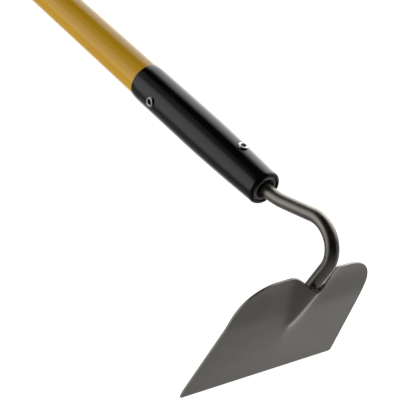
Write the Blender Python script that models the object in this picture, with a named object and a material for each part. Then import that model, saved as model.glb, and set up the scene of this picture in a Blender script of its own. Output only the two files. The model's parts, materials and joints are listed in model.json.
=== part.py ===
"""Gooseneck hoe with a heart-shouldered pressed blade, a painted steel ferrule and a fibreglass handle.

Everything is drawn in the tool's own axes and then leant over as one piece:
    +X runs from the ferrule mouth (x = 0) towards the head, and the handle runs to -X
    +Y is the tool's right hand side, and the tool is symmetric about y = 0
    +Z is away from the side that the blade hangs down on
The hoe lies on level ground on its cutting edge and on the rim of its butt cap.
"""

import math

import bmesh
import bpy
from mathutils import Matrix, Vector

# Driving dimensions, in metres
GAP = 0.0003

HANDLE_RADIUS = 0.015875
HANDLE_WALL = 0.0032
HANDLE_START = 0.086
HANDLE_LENGTH = 1.372

FERRULE_LENGTH = 0.160
FERRULE_RADIUS = 0.01695
FERRULE_WALL = 0.0007
FERRULE_TAPER_LENGTH = 0.085
FERRULE_MOUTH_RADIUS = 0.0143
FERRULE_MOUTH_ROUNDING = 0.003
FERRULE_LIP_RADIUS = 0.0109
FERRULE_LIP_DEPTH = 0.0035
FERRULE_SHOULDER_LENGTH = 0.009
FERRULE_REAR_RIM = 0.0006
FERRULE_TAPER_START = 0.006
FERRULE_TAPER_POWER = 1.6

ADAPTER_SPIGOT_END = 0.150
ADAPTER_FACE = 0.001
ADAPTER_RECESS_RADIUS = 0.0082
ADAPTER_RECESS_DEPTH = 0.008
ADAPTER_CLEARANCE = 0.0005
SEAL_FACE = 0.004

NECK_RADIUS = 0.00562
TANG_LENGTH = 0.118
NECK_RISE_START = 0.001
NECK_RISE_ANGLE = math.radians(16.9)
NECK_RISE_RADIUS = 0.069
NECK_CREST_LENGTH = 0.0313
NECK_TURN_ANGLE = math.radians(122.8)
NECK_TURN_RADIUS = 0.0228
NECK_END_LENGTH = 0.051
NECK_POINT_LENGTH = 0.026
NECK_POINT_RADIUS = 0.0032
NECK_POINT_POWER = 0.7

BLADE_THICKNESS = 0.0018
BLADE_EDGE_THICKNESS = 0.0007
BLADE_BEVEL_LENGTH = 0.006
BLADE_EDGE_X = 0.0552
BLADE_EDGE_Z = -0.1412
BLADE_LEAN = math.radians(9.76)
BLADE_HALF_WIDTH = 0.0806
BLADE_SIDE_TAPER = 0.1265
LOBE_CENTRE = Vector((0.0822, 0.0354))
LOBE_RADIUS = 0.0345
INNER_LOBE_CENTRE = Vector((0.1059, 0.025))
INNER_LOBE_RADIUS = 0.0115
NOTCH_UP = 0.1042
NOTCH_FLANK = 0.63
CORNER_RADIUS = 0.0015

# The blade's pressed shape: a nearly flat sheet with two ears, and a rib between them that runs out forwards
EAR_RISE = 0.0010
EAR_RISE_LENGTH = 0.068
EAR_DROOP = 0.0021
EAR_DROOP_START = 0.072
EAR_DROOP_LENGTH = 0.040
RIB_CREST_AT_NOTCH = 0.0082
RIB_CREST_SLOPE = 0.135
RIB_NOSE_AT = 0.070
RIB_NOSE_HEIGHT = 0.0057
RIB_NOSE_SLOPE = 0.42
RIB_NOSE_BLEND = 0.002
RIB_FLANK_SLOPE = 0.72
RIB_CREST_ROUNDING = 0.0034
RIB_FADE_LENGTH = 0.020
FOLD_ROUNDING = 0.0016

RIVET_BODY_RADIUS = 0.0028
RIVET_BORE_RADIUS = 0.0020
RIVET_HEAD_RADIUS = 0.0043
RIVET_HEAD_HEIGHT = 0.0013
RIVET_CREST_HALF_WIDTH = 0.00065
RIVET_CREST_DROP = 0.00025
UPPER_RIVET_X = -0.1322
LOWER_RIVET_X = -0.0362

WELD_RADIUS = 0.0013
WELD_BEHIND_NOTCH = 0.00225
SIDE_WELD_RADIUS = 0.0021
SIDE_WELD_OUT = 0.0083
SIDE_WELD_BELOW = 0.0008
SIDE_WELD_START = 0.086
SIDE_WELD_END = 0.101

CAP_LENGTH = 0.038
CAP_RADIUS = 0.0176
CAP_END_THICKNESS = 0.004
CAP_ROUNDING = 0.003
CAP_RIM_CHAMFER = 0.0009

ROUND_SIDES = 40
ROD_SIDES = 20
GRID_GROWTH = 1.35
SIDE_OUTLINE_POINTS = 8
CUTTER_REACH = 0.03

# Finishes: colour, roughness and how metallic
FIBREGLASS = ((0.60, 0.36, 0.05), 0.28, 0.0)
BLACK_PAINT = ((0.012, 0.012, 0.013), 0.25, 0.0)
GREY_CASTING = ((0.20, 0.20, 0.19), 0.45, 0.6)
OLIVE_FILLER = ((0.030, 0.032, 0.020), 0.7, 0.0)
BLACK_VINYL = ((0.015, 0.015, 0.015), 0.5, 0.0)
BRIGHT_ZINC = ((0.62, 0.62, 0.60), 0.25, 1.0)
ROD_STEEL = ((0.30, 0.285, 0.26), 0.33, 1.0)
SHEET_STEEL = ((0.25, 0.24, 0.22), 0.38, 1.0)
WELD_STEEL = ((0.10, 0.095, 0.085), 0.5, 1.0)


def clear_scene():
    """Start from an empty scene."""
    for old in list(bpy.data.objects):
        bpy.data.objects.remove(old, do_unlink=True)


def finish_of(name, finish):
    """A plain material of one colour."""
    colour, roughness, metallic = finish
    material = bpy.data.materials.new(name)
    material.use_nodes = True
    shader = material.node_tree.nodes["Principled BSDF"]
    shader.inputs["Base Color"].default_value = (*colour, 1.0)
    shader.inputs["Roughness"].default_value = roughness
    shader.inputs["Metallic"].default_value = metallic
    return material


def add_object(name, mesh_builder, material, frame):
    """Turn a bmesh into a named object that belongs to the tool's frame."""
    bmesh.ops.recalc_face_normals(mesh_builder, faces=mesh_builder.faces)
    mesh = bpy.data.meshes.new(name)
    mesh_builder.to_mesh(mesh)
    mesh_builder.free()
    mesh.shade_smooth()
    mesh.set_sharp_from_angle(angle=math.radians(35))
    mesh.materials.append(material)
    part = bpy.data.objects.new(name, mesh)
    bpy.context.scene.collection.objects.link(part)
    part.parent = frame
    return part


def arc(centre, radius, start, end, steps):
    """Points on a circle, from one angle to another, in degrees."""
    points = []
    for i in range(steps + 1):
        angle = math.radians(start + (end - start) * i / steps)
        points.append((centre[0] + radius * math.cos(angle), centre[1] + radius * math.sin(angle)))
    return points


def turned(profile, closed=True, sides=ROUND_SIDES):
    """A body turned about the X axis from (x, radius) points.

    A closed profile makes a ring with a bore. An open one starts and ends on the axis.
    """
    body = bmesh.new()
    verts = [body.verts.new((x, 0.0, radius)) for x, radius in profile]
    edges = [body.edges.new(pair) for pair in zip(verts, verts[1:])]
    if closed:
        edges.append(body.edges.new((verts[-1], verts[0])))
    bmesh.ops.spin(body, geom=verts + edges, cent=(0, 0, 0), axis=(1, 0, 0),
                   angle=2 * math.pi, steps=sides, use_merge=True)
    bmesh.ops.remove_doubles(body, verts=body.verts, dist=1e-7)
    return body


def swept(path, tangents, radii, sides):
    """A round bar along a path in the XZ or any other plane, with its own radius at each point."""
    body = bmesh.new()
    rings = []
    side = tangents[0].orthogonal().normalized()
    for point, tangent, radius in zip(path, tangents, radii):
        side = (side - side.dot(tangent) * tangent).normalized()
        other = tangent.cross(side)
        ring = []
        for i in range(sides):
            turn = 2 * math.pi * i / sides
            ring.append(body.verts.new(point + radius * (math.cos(turn) * side + math.sin(turn) * other)))
        rings.append(ring)
    for ring, after in zip(rings, rings[1:]):
        for i in range(sides):
            body.faces.new((ring[i], ring[i - 1], after[i - 1], after[i]))
    body.faces.new(rings[0])
    body.faces.new(rings[-1])
    return body


def cut_hole(part, name, start, end, radius, frame):
    """Drill a straight round hole through a part, between two points of the tool's frame."""
    axis = end - start
    drill = bmesh.new()
    bmesh.ops.create_cone(drill, cap_ends=True, segments=ROD_SIDES, radius1=radius, radius2=radius,
                          depth=axis.length)
    turn = Vector((0, 0, 1)).rotation_difference(axis).to_matrix().to_4x4()
    bmesh.ops.transform(drill, matrix=Matrix.Translation((start + end) / 2) @ turn, verts=drill.verts)
    mesh = bpy.data.meshes.new(name)
    drill.to_mesh(mesh)
    drill.free()
    cutter = bpy.data.objects.new(name, mesh)
    bpy.context.scene.collection.objects.link(cutter)
    cutter.parent = frame
    cutter.hide_render = True
    cutter.display_type = "WIRE"
    modifier = part.modifiers.new(name, "BOOLEAN")
    modifier.operation = "DIFFERENCE"
    modifier.object = cutter


# Handle, ferrule and what is inside them


def ferrule_outer_radius(s):
    """The ferrule's outer radius at a distance s from its mouth: straight, then drawn in to the mouth."""
    if s >= FERRULE_TAPER_LENGTH:
        return FERRULE_RADIUS
    share = (FERRULE_TAPER_LENGTH - s) / FERRULE_TAPER_LENGTH
    return FERRULE_RADIUS - (FERRULE_RADIUS - FERRULE_MOUTH_RADIUS) * share ** FERRULE_TAPER_POWER


def make_handle_tube(frame):
    """The hollow fibreglass handle."""
    inner = HANDLE_RADIUS - HANDLE_WALL
    start, end = -HANDLE_START, -HANDLE_START - HANDLE_LENGTH
    profile = [(start, HANDLE_RADIUS), (end, HANDLE_RADIUS), (end, inner), (start, inner)]
    material = finish_of("fibreglass_yellow", FIBREGLASS)
    return add_object("handle_tube", turned(profile), material, frame)


def make_ferrule(frame):
    """The black painted steel sleeve, drawn in at the head end and closed there by a rounded lip."""
    centre = (-FERRULE_MOUTH_ROUNDING, ferrule_outer_radius(FERRULE_MOUTH_ROUNDING) - FERRULE_MOUTH_ROUNDING)
    profile = arc(centre, FERRULE_MOUTH_ROUNDING, 0, 82, 6)
    taper_steps = 12
    for i in range(1, taper_steps + 1):
        s = FERRULE_TAPER_START + (FERRULE_TAPER_LENGTH - FERRULE_TAPER_START) * i / taper_steps
        profile.append((-s, ferrule_outer_radius(s)))
    rim = HANDLE_RADIUS + FERRULE_REAR_RIM
    shoulder_steps = 4
    for i in range(shoulder_steps + 1):
        share = i / shoulder_steps
        s = FERRULE_LENGTH - FERRULE_SHOULDER_LENGTH * (1 - share)
        profile.append((-s, FERRULE_RADIUS - (FERRULE_RADIUS - rim) * share ** 2))
    bore = HANDLE_RADIUS + GAP
    profile.append((-FERRULE_LENGTH, bore))
    profile.append((-FERRULE_TAPER_LENGTH, bore))
    for i in range(taper_steps - 1, -1, -1):
        s = FERRULE_LIP_DEPTH + (FERRULE_TAPER_LENGTH - FERRULE_LIP_DEPTH) * i / taper_steps
        profile.append((-s, min(bore, ferrule_outer_radius(s) - FERRULE_WALL)))
    profile.append((-FERRULE_LIP_DEPTH, FERRULE_LIP_RADIUS))
    profile.append((0.0, FERRULE_LIP_RADIUS))
    material = finish_of("ferrule_black", BLACK_PAINT)
    return add_object("ferrule", turned(profile), material, frame)


def make_tang_adapter(frame):
    """The grey insert that fills the ferrule's taper and plugs the handle, bored for the tang."""
    bore = NECK_RADIUS + GAP
    body_end = HANDLE_START - GAP
    spigot = HANDLE_RADIUS - HANDLE_WALL - GAP
    nose = FERRULE_LIP_RADIUS - GAP
    shoulder = FERRULE_LIP_DEPTH + GAP
    profile = [(-ADAPTER_SPIGOT_END, spigot), (-ADAPTER_SPIGOT_END, bore),
               (-ADAPTER_RECESS_DEPTH, bore), (-ADAPTER_RECESS_DEPTH, ADAPTER_RECESS_RADIUS),
               (-ADAPTER_FACE, ADAPTER_RECESS_RADIUS), (-ADAPTER_FACE, nose), (-shoulder, nose)]
    steps = 8
    for i in range(steps + 1):
        s = shoulder + (body_end - shoulder) * i / steps
        limit = min(HANDLE_RADIUS + GAP, ferrule_outer_radius(s) - FERRULE_WALL)
        profile.append((-s, limit - ADAPTER_CLEARANCE))
    profile.append((-body_end, spigot))
    material = finish_of("adapter_grey", GREY_CASTING)
    return add_object("tang_adapter", turned(profile), material, frame)


def make_shank_seal(frame):
    """The dark ring of filler round the neck, set back in the adapter's recess."""
    inner = NECK_RADIUS + GAP
    outer = ADAPTER_RECESS_RADIUS - GAP
    back = -ADAPTER_RECESS_DEPTH + GAP
    profile = [(back, inner), (-SEAL_FACE, inner), (-SEAL_FACE, outer), (back, outer)]
    material = finish_of("seal_olive", OLIVE_FILLER)
    return add_object("shank_seal", turned(profile, sides=24), material, frame)


def make_butt_cap(frame):
    """The vinyl cap pushed over the butt end of the handle."""
    butt = -HANDLE_START - HANDLE_LENGTH
    end = butt - GAP - CAP_END_THICKNESS
    bore = HANDLE_RADIUS + GAP
    corner = (end + CAP_ROUNDING, CAP_RADIUS - CAP_ROUNDING)
    profile = [(end, 0.0)] + arc(corner, CAP_ROUNDING, 180, 90, 6)
    mouth = end + CAP_LENGTH
    profile += [(mouth - CAP_RIM_CHAMFER, CAP_RADIUS), (mouth, CAP_RADIUS - CAP_RIM_CHAMFER)]
    profile += [(mouth, bore), (butt - GAP, bore), (butt - GAP, 0.0)]
    material = finish_of("cap_black", BLACK_VINYL)
    return add_object("butt_cap", turned(profile, closed=False), material, frame)


def make_rivet(name, x, reach, along_y, frame):
    """A tubular rivet through the ferrule, with a rolled head at each end and an open bore."""
    seat = reach + GAP
    top = seat + RIVET_HEAD_HEIGHT
    mid = (RIVET_HEAD_RADIUS + RIVET_BORE_RADIUS) / 2
    rim = seat + RIVET_HEAD_HEIGHT / 3
    half = [(seat, RIVET_BODY_RADIUS), (seat, RIVET_HEAD_RADIUS), (rim, RIVET_HEAD_RADIUS),
            (top - RIVET_CREST_DROP, mid + RIVET_CREST_HALF_WIDTH), (top, mid),
            (top - RIVET_CREST_DROP, mid - RIVET_CREST_HALF_WIDTH), (rim, RIVET_BORE_RADIUS)]
    profile = half + [(-a, radius) for a, radius in reversed(half)]
    body = turned(profile, sides=ROD_SIDES)
    turn = Matrix.Rotation(math.pi / 2, 4, "Z" if along_y else "Y")
    bmesh.ops.transform(body, matrix=Matrix.Translation((x, 0, 0)) @ turn, verts=body.verts)
    material = finish_of(name + "_zinc", BRIGHT_ZINC)
    return add_object(name, body, material, frame)


# Neck


def neck_path():
    """Points and tangents down the middle of the bent rod, from the end of the tang to its point."""
    runs = [(TANG_LENGTH + NECK_RISE_START, 0.0, 3), (NECK_RISE_RADIUS * NECK_RISE_ANGLE, NECK_RISE_ANGLE, 6),
            (NECK_CREST_LENGTH, 0.0, 3), (NECK_TURN_RADIUS * NECK_TURN_ANGLE, -NECK_TURN_ANGLE, 20),
            (NECK_END_LENGTH - NECK_POINT_LENGTH, 0.0, 2), (NECK_POINT_LENGTH, 0.0, 6)]
    heading = 0.0
    point = Vector((-TANG_LENGTH, 0, 0))
    points, tangents = [point.copy()], [Vector((1, 0, 0))]
    for length, turn, steps in runs:
        for _ in range(steps):
            chord = heading + turn / steps / 2
            point = point + length / steps * Vector((math.cos(chord), 0, math.sin(chord)))
            heading += turn / steps
            points.append(point.copy())
            tangents.append(Vector((math.cos(heading), 0, math.sin(heading))))
    return points, tangents


def neck_radii(points):
    """Full size along the rod, then forged down to a blunt point over its last stretch."""
    radii = []
    for point in points:
        left = (points[-1] - point).length
        share = min(1.0, left / NECK_POINT_LENGTH) if point.x > 0 and point.z < 0 else 1.0
        radii.append(NECK_POINT_RADIUS + (NECK_RADIUS - NECK_POINT_RADIUS) * share ** NECK_POINT_POWER)
    return radii


def make_gooseneck(frame):
    """The solid steel neck with its tang, one bent rod."""
    points, tangents = neck_path()
    material = finish_of("neck_steel", ROD_STEEL)
    return add_object("gooseneck", swept(points, tangents, neck_radii(points), ROD_SIDES), material, frame)


# Blade. Its own axes are: up from the cutting edge, out to one side, and proud of the face.


def blade_axes():
    up = Vector((math.sin(BLADE_LEAN), 0, math.cos(BLADE_LEAN)))
    proud = Vector((math.cos(BLADE_LEAN), 0, -math.sin(BLADE_LEAN)))
    return Vector((BLADE_EDGE_X, 0, BLADE_EDGE_Z)), up, proud


def on_blade(up_by, out_by, proud_by):
    """A point of the blade's axes in the tool's frame."""
    corner, up, proud = blade_axes()
    return corner + up_by * up + Vector((0, out_by, 0)) + proud_by * proud


def smooth_step(value):
    value = min(1.0, max(0.0, value))
    return value * value * (3 - 2 * value)


def lower_of(first, second, rounding):
    """The lower of two heights, with a rounded corner where they cross."""
    return (first + second - math.hypot(first - second, rounding)) / 2


def higher_of(first, second, rounding):
    """The higher of two heights, with a rounded corner where they cross."""
    return (first + second + math.hypot(first - second, rounding)) / 2


def ear_height(up_by, out_by):
    """The nearly flat ears: a little higher towards the middle, and pressed back towards the rear edge."""
    half_width = BLADE_HALF_WIDTH - BLADE_SIDE_TAPER * up_by
    rise = EAR_RISE * max(0.0, 1 - out_by / half_width) * smooth_step(up_by / EAR_RISE_LENGTH)
    return rise - EAR_DROOP * smooth_step((up_by - EAR_DROOP_START) / EAR_DROOP_LENGTH)


def face_height(up_by, out_by):
    """How far the outer face stands proud of the plane through the cutting edge and the sides."""
    out_by = abs(out_by)
    sheet = ear_height(up_by, out_by)
    back = RIB_CREST_AT_NOTCH + RIB_CREST_SLOPE * (up_by - NOTCH_UP)
    nose = RIB_NOSE_HEIGHT + RIB_NOSE_SLOPE * (up_by - RIB_NOSE_AT)
    crest = lower_of(back, nose, RIB_NOSE_BLEND)
    rib = crest + RIB_CREST_ROUNDING - math.hypot(RIB_FLANK_SLOPE * out_by, RIB_CREST_ROUNDING)
    fade = smooth_step((up_by - BLADE_BEVEL_LENGTH) / RIB_FADE_LENGTH)
    return sheet + fade * (higher_of(rib, sheet, FOLD_ROUNDING) - sheet)


def face_normal(up_by, out_by):
    """The outer face's normal, in the blade's axes."""
    step = 1e-4
    slope_up = (face_height(up_by + step, out_by) - face_height(up_by - step, out_by)) / (2 * step)
    slope_out = (face_height(up_by, out_by + step) - face_height(up_by, out_by - step)) / (2 * step)
    return Vector((-slope_up, -slope_out, 1)).normalized()


def tangent_angle(first, first_radius, second, second_radius):
    """The angle of the normal that two circles share on their outer common tangent."""
    towards = second - first
    lean = math.acos((first_radius - second_radius) / towards.length)
    return math.atan2(towards.y, towards.x) + lean


def rear_outline():
    """Half of the blade's rear edge, from the notch to the top of its straight side."""
    notch = Vector((NOTCH_UP, 0))
    back = INNER_LOBE_CENTRE - notch
    notch_angle = math.atan2(-back.y, -back.x) + math.acos(INNER_LOBE_RADIUS / back.length)
    shared = tangent_angle(LOBE_CENTRE, LOBE_RADIUS, INNER_LOBE_CENTRE, INNER_LOBE_RADIUS)
    if shared > math.radians(60):
        shared -= 2 * math.pi
    side_angle = math.pi / 2 - math.atan(BLADE_SIDE_TAPER)
    inner = arc(INNER_LOBE_CENTRE, INNER_LOBE_RADIUS, math.degrees(notch_angle), math.degrees(shared), 6)
    outer = arc(LOBE_CENTRE, LOBE_RADIUS, math.degrees(shared), math.degrees(side_angle), 14)
    flank_steps = 5
    flank = [notch.lerp(Vector(inner[0]), i / flank_steps) for i in range(flank_steps)]
    return [Vector(point) for point in flank + inner + outer]


def evenly(points, count, power=1.0):
    """Points at growing distances along a polyline."""
    lengths = [0.0]
    for first, second in zip(points, points[1:]):
        lengths.append(lengths[-1] + (second - first).length)
    spaced = []
    for i in range(count + 1):
        target = lengths[-1] * (i / count) ** power
        j = max(k for k in range(len(points) - 1) if lengths[k] <= target + 1e-12)
        share = (target - lengths[j]) / (lengths[j + 1] - lengths[j])
        spaced.append(points[j].lerp(points[j + 1], share))
    return spaced


def blade_grid(columns, rows):
    """A grid of (up, out) points over half of the blade: between its middle, edge, side and rear outline."""
    outline = rear_outline()
    shoulder = len(outline) - 1 - SIDE_OUTLINE_POINTS
    rear = evenly(outline[:shoulder + 1], columns, GRID_GROWTH)
    corner = Vector((0, BLADE_HALF_WIDTH))
    side_line = [corner + Vector((CORNER_RADIUS, -BLADE_SIDE_TAPER * CORNER_RADIUS))]
    side_line += outline[:shoulder - 1:-1]
    side = [Vector((0, BLADE_HALF_WIDTH - CORNER_RADIUS))] + evenly(side_line, rows - 1)
    edge = [Vector((0, side[0].y * (i / columns) ** GRID_GROWTH)) for i in range(columns + 1)]
    middle = [Vector((NOTCH_UP * j / rows, 0)) for j in range(rows + 1)]
    grid = []
    for j in range(rows + 1):
        v = j / rows
        row = []
        for i in range(columns + 1):
            u = (i / columns) ** GRID_GROWTH
            blend = (1 - v) * edge[i] + v * rear[i] + (1 - u) * middle[j] + u * side[j]
            corners = (1 - v) * ((1 - u) * edge[0] + u * edge[-1]) + v * ((1 - u) * rear[0] + u * rear[-1])
            row.append(blend - corners)
        grid.append(row)
    return grid


def make_blade(frame):
    """The pressed steel blade: both faces from one grid, joined round the rim."""
    half = blade_grid(16, 26)
    grid = [[Vector((p.x, -p.y)) for p in row[:0:-1]] + row for row in half]
    body = bmesh.new()
    outer, inner = [], []
    for row in grid:
        outer_row, inner_row = [], []
        for point in row:
            height = face_height(point.x, point.y)
            normal = face_normal(point.x, point.y)
            ground = min(1.0, point.x / BLADE_BEVEL_LENGTH)
            thickness = BLADE_EDGE_THICKNESS + (BLADE_THICKNESS - BLADE_EDGE_THICKNESS) * ground
            under = Vector((point.x, point.y, height)) - thickness * normal
            under.x = max(0.0, under.x)
            outer_row.append(body.verts.new(on_blade(point.x, point.y, height)))
            inner_row.append(body.verts.new(on_blade(*under)))
        outer.append(outer_row)
        inner.append(inner_row)
    for j in range(len(grid) - 1):
        for i in range(len(grid[0]) - 1):
            body.faces.new((outer[j][i], outer[j][i + 1], outer[j + 1][i + 1], outer[j + 1][i]))
            body.faces.new((inner[j][i], inner[j + 1][i], inner[j + 1][i + 1], inner[j][i + 1]))
    for j in range(len(grid) - 1):
        for i in (0, -1):
            body.faces.new((outer[j][i], outer[j + 1][i], inner[j + 1][i], inner[j][i]))
    for i in range(len(grid[0]) - 1):
        for j in (0, -1):
            body.faces.new((outer[j][i], outer[j][i + 1], inner[j][i + 1], inner[j][i]))
    material = finish_of("blade_steel", SHEET_STEEL)
    return add_object("blade", body, material, frame)


def neck_under_rib():
    """The neck's line in the blade's axes: its height over the plane at a distance up the blade."""
    points, tangents = neck_path()
    corner, up, proud = blade_axes()
    end = points[-1] - corner
    run = -tangents[-1]
    slope = run.dot(proud) / run.dot(up)
    return lambda up_by: end.dot(proud) + slope * (up_by - end.dot(up))


def capsule(path, radius, sides=10):
    """A weld bead: a round bar along a path whose ends are drawn in."""
    tangents = []
    for i, point in enumerate(path):
        before, after = path[max(0, i - 1)], path[min(len(path) - 1, i + 1)]
        tangents.append((after - before).normalized())
    last = len(path) - 1
    radii = []
    for i in range(len(path)):
        share = min(1.0, min(i, last - i) / 3)
        radii.append(radius * (0.35 + 0.65 * math.sin(share * math.pi / 2)))
    return swept(path, tangents, radii, sides)


def make_rim_weld(frame):
    """The bead that joins the notch in the blade's rear edge to the top of the neck."""
    line = neck_under_rib()
    steps = 28
    path = []
    reach = NECK_RADIUS + GAP + WELD_RADIUS
    for i in range(steps + 1):
        angle = math.radians(-95 + 190 * i / steps)
        out_by = reach * math.sin(angle)
        up_by = NOTCH_UP + NOTCH_FLANK * abs(out_by) + WELD_BEHIND_NOTCH
        path.append(on_blade(up_by, out_by, line(up_by) + reach * math.cos(angle)))
    material = finish_of("rim_weld_steel", WELD_STEEL)
    return add_object("rim_weld", capsule(path, WELD_RADIUS), material, frame)


def make_side_weld(name, side, frame):
    """A bead along the neck, where it lies in the hollow of the rib behind the blade."""
    line = neck_under_rib()
    steps = 12
    path = []
    for i in range(steps + 1):
        up_by = SIDE_WELD_START + (SIDE_WELD_END - SIDE_WELD_START) * i / steps
        path.append(on_blade(up_by, side * SIDE_WELD_OUT, line(up_by) - SIDE_WELD_BELOW))
    material = finish_of(name + "_steel", WELD_STEEL)
    return add_object(name, capsule(path, SIDE_WELD_RADIUS), material, frame)


def lean_angle():
    """How far the handle rises towards the head when the cutting edge and the cap's rim touch the ground."""
    cap_end = HANDLE_START + HANDLE_LENGTH + GAP + CAP_END_THICKNESS
    run = BLADE_EDGE_X + cap_end - CAP_ROUNDING
    drop = -BLADE_EDGE_Z - CAP_RADIUS + CAP_ROUNDING
    return math.atan2(drop, run) - math.asin(CAP_ROUNDING / math.hypot(run, drop))


def stand_on_ground(frame):
    """Move the tool so that the middle of its box's underside is the origin."""
    bpy.context.view_layer.update()
    graph = bpy.context.evaluated_depsgraph_get()
    corners = []
    for part in frame.children:
        if part.hide_render:
            continue
        evaluated = part.evaluated_get(graph)
        corners += [evaluated.matrix_world @ vert.co for vert in evaluated.data.vertices]
    low = Vector([min(corner[axis] for corner in corners) for axis in range(3)])
    high = Vector([max(corner[axis] for corner in corners) for axis in range(3)])
    frame.location -= Vector(((low.x + high.x) / 2, (low.y + high.y) / 2, low.z))
    bpy.context.view_layer.update()


def main():
    clear_scene()
    frame = bpy.data.objects.new("tool_frame", None)
    bpy.context.scene.collection.objects.link(frame)
    frame.rotation_euler = (0, -lean_angle(), 0)
    handle = make_handle_tube(frame)
    ferrule = make_ferrule(frame)
    adapter = make_tang_adapter(frame)
    make_shank_seal(frame)
    make_butt_cap(frame)
    neck = make_gooseneck(frame)
    make_blade(frame)
    make_rim_weld(frame)
    make_side_weld("left_weld", -1, frame)
    make_side_weld("right_weld", 1, frame)
    make_rivet("upper_rivet", UPPER_RIVET_X, FERRULE_RADIUS, True, frame)
    make_rivet("lower_rivet", LOWER_RIVET_X, ferrule_outer_radius(-LOWER_RIVET_X), False, frame)
    hole = RIVET_BODY_RADIUS + GAP
    across = Vector((0, CUTTER_REACH, 0))
    through = Vector((0, 0, CUTTER_REACH))
    upper = Vector((UPPER_RIVET_X, 0, 0))
    lower = Vector((LOWER_RIVET_X, 0, 0))
    for part in (handle, ferrule, adapter):
        cut_hole(part, part.name + "_upper_hole", upper - across, upper + across, hole, frame)
    for part in (ferrule, adapter, neck):
        cut_hole(part, part.name + "_lower_hole", lower - through, lower + through, hole, frame)
    stand_on_ground(frame)


main()
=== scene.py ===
"""The looks of a gooseneck hoe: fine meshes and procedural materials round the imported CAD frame.

Pieces are drawn in the tool's own axes, which are read back from the record's butt_end mount:
    +X runs from the ferrule mouth (x = 0) towards the head
    +Y runs to the right
    +Z runs away from the blade's side
"""

import json
import math

import bmesh
import bpy
from mathutils import Matrix, Vector

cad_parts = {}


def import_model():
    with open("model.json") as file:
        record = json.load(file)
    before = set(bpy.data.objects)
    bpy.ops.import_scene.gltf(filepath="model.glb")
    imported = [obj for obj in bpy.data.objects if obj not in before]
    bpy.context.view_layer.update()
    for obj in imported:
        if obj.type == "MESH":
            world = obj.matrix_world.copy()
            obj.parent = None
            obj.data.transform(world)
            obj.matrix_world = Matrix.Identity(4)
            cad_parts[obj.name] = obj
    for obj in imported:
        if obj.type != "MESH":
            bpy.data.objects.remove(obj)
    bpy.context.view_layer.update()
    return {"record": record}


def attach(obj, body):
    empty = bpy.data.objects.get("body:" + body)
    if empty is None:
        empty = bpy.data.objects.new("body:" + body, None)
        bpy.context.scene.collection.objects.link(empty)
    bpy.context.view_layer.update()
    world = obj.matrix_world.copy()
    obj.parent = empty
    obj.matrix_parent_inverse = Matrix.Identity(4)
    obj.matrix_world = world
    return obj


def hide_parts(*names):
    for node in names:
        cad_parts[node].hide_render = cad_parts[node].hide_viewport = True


# Sizes that repeat the CAD's, in metres
GAP = 0.0003

HANDLE_RADIUS = 0.015875
HANDLE_WALL = 0.0032
HANDLE_START = 0.086
HANDLE_LENGTH = 1.372

FERRULE_LENGTH = 0.160
FERRULE_RADIUS = 0.01695
FERRULE_WALL = 0.0007
FERRULE_TAPER_LENGTH = 0.085
FERRULE_MOUTH_RADIUS = 0.0143
FERRULE_MOUTH_ROUNDING = 0.003
FERRULE_MOUTH_ARC = 84
FERRULE_LIP_RADIUS = 0.0109
FERRULE_LIP_DEPTH = 0.0035
FERRULE_LIP_ROUNDING = 0.0006
FERRULE_LIP_FACE = 0.0030
FERRULE_LIP_STEP = 0.0004
FERRULE_INNER_START = 0.004
FERRULE_TAPER_START = 0.005
FERRULE_TAPER_POWER = 1.6
FERRULE_REAR_RIM = 0.0006
FERRULE_SHOULDER_LENGTH = 0.009

ADAPTER_SPIGOT_END = 0.150
ADAPTER_FACE = 0.001
ADAPTER_RECESS_RADIUS = 0.0082
ADAPTER_RECESS_DEPTH = 0.008
ADAPTER_CLEARANCE = 0.0005
ADAPTER_EDGE_ROUNDING = 0.0004
SEAL_FACE = 0.004
SEAL_CLEARANCE = 0.0001
SEAL_RISE = 0.0006
SEAL_SAG = 0.0012

NECK_RADIUS = 0.00562
TANG_LENGTH = 0.118
NECK_RISE_START = 0.001
NECK_RISE_ANGLE = math.radians(16.9)
NECK_RISE_RADIUS = 0.069
NECK_CREST_LENGTH = 0.0313
NECK_TURN_ANGLE = math.radians(122.8)
NECK_TURN_RADIUS = 0.0228
NECK_END_LENGTH = 0.051
NECK_POINT_LENGTH = 0.026
NECK_POINT_RADIUS = 0.0032
NECK_POINT_POWER = 0.7

BLADE_THICKNESS = 0.0018
BLADE_EDGE_THICKNESS = 0.0007
BLADE_BEVEL_LENGTH = 0.006
BLADE_EDGE_X = 0.0552
BLADE_EDGE_Z = -0.1412
BLADE_LEAN = math.radians(9.76)
BLADE_HALF_WIDTH = 0.0806
BLADE_SIDE_TAPER = 0.1265
LOBE_CENTRE = Vector((0.0822, 0.0354))
LOBE_RADIUS = 0.0345
INNER_LOBE_CENTRE = Vector((0.1059, 0.025))
INNER_LOBE_RADIUS = 0.0115
NOTCH_UP = 0.1042
NOTCH_FLANK = 0.63
CORNER_RADIUS = 0.0015
SHEARED_EDGE = 0.00022
BLADE_SHARP_ANGLE = 50
BLADE_COLUMNS = 44
BLADE_ROWS = 84
GRID_GROWTH = 1.35
SIDE_OUTLINE_POINTS = 34

EAR_RISE = 0.0010
EAR_RISE_LENGTH = 0.068
EAR_DROOP = 0.0021
EAR_DROOP_START = 0.072
EAR_DROOP_LENGTH = 0.040
RIB_CREST_AT_NOTCH = 0.0082
RIB_CREST_SLOPE = 0.135
RIB_NOSE_AT = 0.070
RIB_NOSE_HEIGHT = 0.0057
RIB_NOSE_SLOPE = 0.42
RIB_NOSE_BLEND = 0.002
RIB_FLANK_SLOPE = 0.72
RIB_CREST_ROUNDING = 0.0034
RIB_FADE_LENGTH = 0.020
FOLD_ROUNDING = 0.0016

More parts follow.
